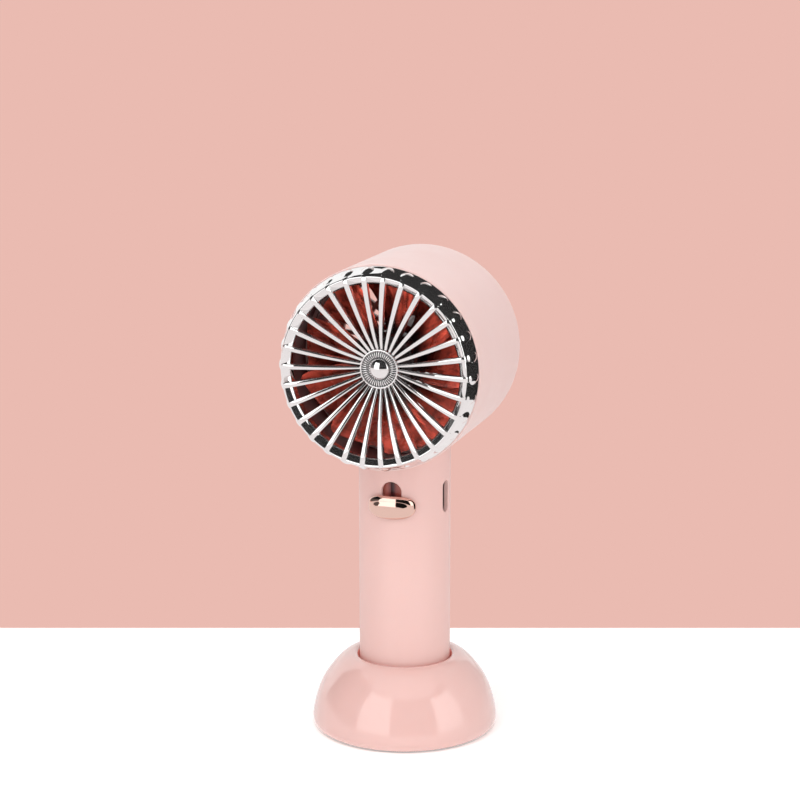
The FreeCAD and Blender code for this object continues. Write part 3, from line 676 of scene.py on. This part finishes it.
# -------------------------------------------------------------------- impeller
def fan_blade(n_r=26, n_c=22):
    """Cambered blade, thicker at the root, swept forwards, with a rounded rim."""
    R = [11.0, 18.0, 25.0, 31.0, 36.5]
    P = [50, 42, 33, 28, 24.5]
    C = [13.2, 17.8, 22.2, 26.0, 29.6]
    S = [0.0, 0.6, 2.2, 4.6, 7.6]
    T = [1.5, 1.4, 1.3, 1.2, 1.1]
    verts, rows = [], []
    for i in range(n_r + 1):
        r = 11.6 + (34.9 - 11.6) * i / n_r
        pitch, chord, sweep, th = (float(np.interp(r, R, q)) for q in (P, C, S, T))
        tip = max(0.0, (r - 33.4) / 1.5)
        chord *= 1 - 0.10 * tip ** 2             # rounded outer corners
        ca, sa = math.cos(math.radians(pitch)), math.sin(math.radians(pitch))
        row = []
        up, lo = [], []
        for k in range(n_c + 1):
            u = k / n_c
            c = (u - 0.5) * chord
            camber = 0.10 * chord * (1 - (2 * u - 1) ** 2)
            half = 0.5 * th * math.sqrt(max(0.0, 1 - (2 * u - 1) ** 8)) * (0.55 + 0.45 * (1 - u))
            up.append((c, camber + half))
            lo.append((c, camber - half))
        for c, q in up + lo[::-1][1:-1]:
            t = c * ca - q * sa
            y = -20.4 + c * sa + q * ca
            a = (sweep + t) / max(r, 1.0)
            row.append(len(verts))
            verts.append((r * math.cos(a), y, HZ + r * math.sin(a)))
        rows.append(row)
    m = len(rows[0])
    faces = []
    for i in range(n_r):
        for j in range(m):
            faces.append([rows[i][j], rows[i][(j + 1) % m], rows[i + 1][(j + 1) % m], rows[i + 1][j]])
    faces.append(rows[0][::-1])
    faces.append(rows[-1])
    return verts, faces


hub_line = smooth_line([(0.0, -27.2), (3.0, -27.12), (6.0, -26.75), (9.0, -25.8), (11.3, -24.1), (12.3, -22.0), (12.5, -20.0)], 5)
hub = hub_line + [(12.5, -13.8), (12.3, -13.6), (11.1, -13.6), (11.1, -20.8), (8.6, -23.6), (3.2, -24.6), (3.2, -14.2), (1.02, -14.2), (1.02, -25.4), (0.0, -25.4)]
obj_from("fan_rotor", *join([lathe(hub, 96, "y")] + [spun(fan_blade(), i * 360.0 / BLADES) for i in range(BLADES)]),
         M["rotor"], "impeller", "impeller", "deep_rose", sharp=40)

# --------------------------------------------------------------- stage, lights
def add_mesh(name, verts, faces, mat, cam=True):
    me = bpy.data.meshes.new(name)
    me.from_pydata(verts, [], faces)
    me.materials.append(mat)
    ob = bpy.data.objects.new(name, me)
    scene.collection.objects.link(ob)
    if not cam:                # a studio card that only shows in glossy surfaces
        ob.visible_camera = False
        ob.visible_diffuse = False
        ob.visible_shadow = False
        ob.visible_transmission = False
        ob.visible_volume_scatter = False
    return ob


def emit(name, col, strength):
    m = bpy.data.materials.new(name)
    m.use_nodes = True
    t = m.node_tree
    t.nodes.clear()
    e = t.nodes.new("ShaderNodeEmission")
    e.inputs["Color"].default_value = col
    e.inputs["Strength"].default_value = strength
    o = t.nodes.new("ShaderNodeOutputMaterial")
    t.links.new(e.outputs[0], o.inputs[0])
    return m


CAM_AZ, CAM_EL = 17.18, 14.19
# floor: white to 125 mm behind the fan, then the pale pink backdrop
ca, sa = math.cos(math.radians(CAM_AZ)), math.sin(math.radians(CAM_AZ))


def ground(u, v):
    """u to the right, v away from the camera, on the floor."""
    return (u * ca - v * sa, u * sa + v * ca, 0.0)


floor_mat = bpy.data.materials.new("floor_white")
floor_mat.use_nodes = True
fp = floor_mat.node_tree.nodes["Principled BSDF"]
fp.inputs["Base Color"].default_value = (0.93, 0.925, 0.92, 1)
fp.inputs["Roughness"].default_value = 0.55
fp.inputs["Specular IOR Level"].default_value = 0.25
fp.inputs["Emission Color"].default_value = (1, 1, 1, 1)
fp.inputs["Emission Strength"].default_value = 0.22
back_mat = emit("backdrop_pink", rgb(234, 187, 177), 1.0)
add_mesh("floor", [ground(-4, -4), ground(4, -4), ground(4, 0.125), ground(-4, 0.125)], [(0, 1, 2, 3)], floor_mat)
add_mesh("backdrop", [ground(-30, 0.125), ground(30, 0.125), ground(30, 40), ground(-30, 40)], [(0, 1, 2, 3)], back_mat)


def direction(az, el):
    """From the fan, az degrees round from -Y towards +X, el above the floor."""
    a, e = math.radians(az), math.radians(el)
    return Vector((math.sin(a) * math.cos(e), -math.cos(a) * math.cos(e), math.sin(e)))


def card(name, az0, az1, el0, el1, dist, mat, target=(0, 0, 0.1), nu=12, nv=8):
    """Part of a sphere round the target, between two azimuths and two elevations."""
    verts, faces = [], []
    T = Vector(target)
    for j in range(nv + 1):
        for i in range(nu + 1):
            d = direction(az0 + (az1 - az0) * i / nu, el0 + (el1 - el0) * j / nv)
            verts.append(tuple(T + d * dist))
    for j in range(nv):
        for i in range(nu):
            a = j * (nu + 1) + i
            faces.append((a, a + 1, a + nu + 2, a + nu + 1))
    return add_mesh(name, verts, faces, mat, cam=False)


dark = emit("flag_dark", (0.010, 0.010, 0.011, 1), 1.0)
soft = emit("flag_soft", (0.80, 0.75, 0.74, 1), 1.0)      # lit only for the pieces it is linked to
WHITE = (1.0, 0.995, 0.99, 1)
sheen = emit("floor_sheen", (0.96, 0.905, 0.90, 1), 1.0)
soft_cards = [card("flag_top", -180, 180, 44, 90, 2.6, soft, nu=48),
              card("flag_right", 96, 164, -3, 46, 2.3, soft, nu=24)]
card("flag_front", CAM_AZ - 20, 108, 34, 46, 2.5, dark, nu=24)
card("flag_front_mid", CAM_AZ - 18, 57, 1, 36, 2.4, dark, nu=12)
card("flag_left_low", -108, CAM_AZ - 61, 2, 20, 2.3, emit("flag_grey", (0.12, 0.115, 0.115, 1), 1.0), nu=16)
card("flag_left_high", -112, CAM_AZ - 61, 20, 46, 2.3, dark, nu=16)
card("softbox_left", CAM_AZ - 61, CAM_AZ - 19, -2, 44, 2.0, emit("softbox_l", WHITE, 1.8))
card("softbox_right", 58, 95, -2, 40, 2.0, emit("softbox_r", WHITE, 1.8))
softbox_b = emit("softbox_b", WHITE, 1.1)
card("softbox_back", 166, 252, -2, 30, 2.2, softbox_b, nu=24)
card("softbox_back_high", 200, 252, 30, 46, 2.2, softbox_b, nu=24)


def floor_card(name, az0, az1, r0, r1, mat, z, n=24):
    """Ring piece just over the floor that only shows in glossy surfaces."""
    v, f = [], []
    for i in range(n + 1):
        a = math.radians(az0 + (az1 - az0) * i / n)
        for r in (r0, r1):
            v.append((r * math.sin(a), -r * math.cos(a), z))
    for i in range(n):
        f.append((2 * i, 2 * i + 1, 2 * i + 3, 2 * i + 2))
    return add_mesh(name, v, f, mat, cam=False)


floor_card("sheen_near", 0, 360, 0.04, 0.30, sheen, 0.0004, 72)
floor_card("sheen_front", -175, 98, 0.30, 1.95, sheen, 0.0004, 72)
soft_cards.append(floor_card("dark_back", 98, 185, 0.30, 2.4, soft, 0.0004, 24))
plastics = bpy.data.collections.new("plastic_pieces")
for ob in list(scene.objects):
    if ob.name in ("head_drum", "base_shell") or ob.name.startswith(("handle_front", "handle_rear")):
        plastics.objects.link(ob)
for ob in soft_cards:
    ob.light_linking.receiver_collection = plastics


def area(name, az, el, dist, size, power, target=(0, 0, 0.1), col=(1, 1, 1), glossy=False):
    L = bpy.data.lights.new(name, "AREA")
    L.shape = "RECTANGLE"
    L.size, L.size_y = size
    L.energy = power
    L.color = col
    ob = bpy.data.objects.new(name, L)
    scene.collection.objects.link(ob)
    d = direction(az, el)
    ob.location = Vector(target) + d * dist
    ob.rotation_euler = d.to_track_quat("Z", "Y").to_euler()
    ob.visible_glossy = glossy
    return ob


area("key_top", CAM_AZ - 20, 68, 1.1, (1.2, 1.2), 9.6)
area("left_box", CAM_AZ - 48, 26, 1.2, (0.7, 0.9), 3.3)
area("right_box", CAM_AZ + 50, 24, 1.2, (0.6, 0.9), 4.3)
area("front_fill", CAM_AZ, 10, 1.6, (1.2, 0.8), 2.1)
# lamps for what sits behind the ribs, linked to those pieces only
inside = [area("inside_left", -24, 30, 0.9, (0.13, 0.13), 9.0, target=(0, 0, HZ * MM)),
          area("inside_right", 46, 12, 0.9, (0.13, 0.13), 12.0, target=(0, 0, HZ * MM)),
          area("inside_low", -34, -5, 0.9, (0.13, 0.13), 16.0, target=(0, 0, HZ * MM))]
inner = bpy.data.collections.new("inside_pieces")
for ob in scene.objects:
    if ob.type == "MESH" and (ob.name in ("fan_rotor",) or ob.name.startswith(("motor", "rear_grille"))):
        inner.objects.link(ob)
for ob in frame["nodes"].values():
    if ob.name.startswith(("motor", "rear_grille")) and ob.name not in inner.objects:
        inner.objects.link(ob)
for lamp in inside:
    lamp.light_linking.receiver_collection = inner

world = bpy.data.worlds.new("studio")
scene.world = world
world.use_nodes = True
bg = world.node_tree.nodes["Background"]
bg.inputs["Color"].default_value = rgb(238, 222, 219)
bg.inputs["Strength"].default_value = 0.55

scene.view_settings.view_transform = "Standard"
scene.view_settings.look = "None"
scene.view_settings.exposure = 0.0

# ---------------------------------------------------------------------- camera
cam_data = bpy.data.cameras.new("camera")
cam = bpy.data.objects.new("camera", cam_data)
scene.collection.objects.link(cam)
D = 0.85873
pos = Vector((0, 0, 0.1)) + direction(CAM_AZ, CAM_EL) * D
cam.location = pos
cam.rotation_euler = (Vector((0, 0, 0.1)) - pos).to_track_quat("-Z", "Y").to_euler()
cam_data.sensor_width = 36.0
cam_data.lens = 36.0 * 2139.83 / 800.0
cam_data.shift_x = -4.78 / 800.0
cam_data.shift_y = 86.68 / 800.0
cam_data.dof.use_dof = False
cam_data.clip_start = 0.01
cam_data.clip_end = 100
scene.camera = cam

bpy.context.view_layer.update()
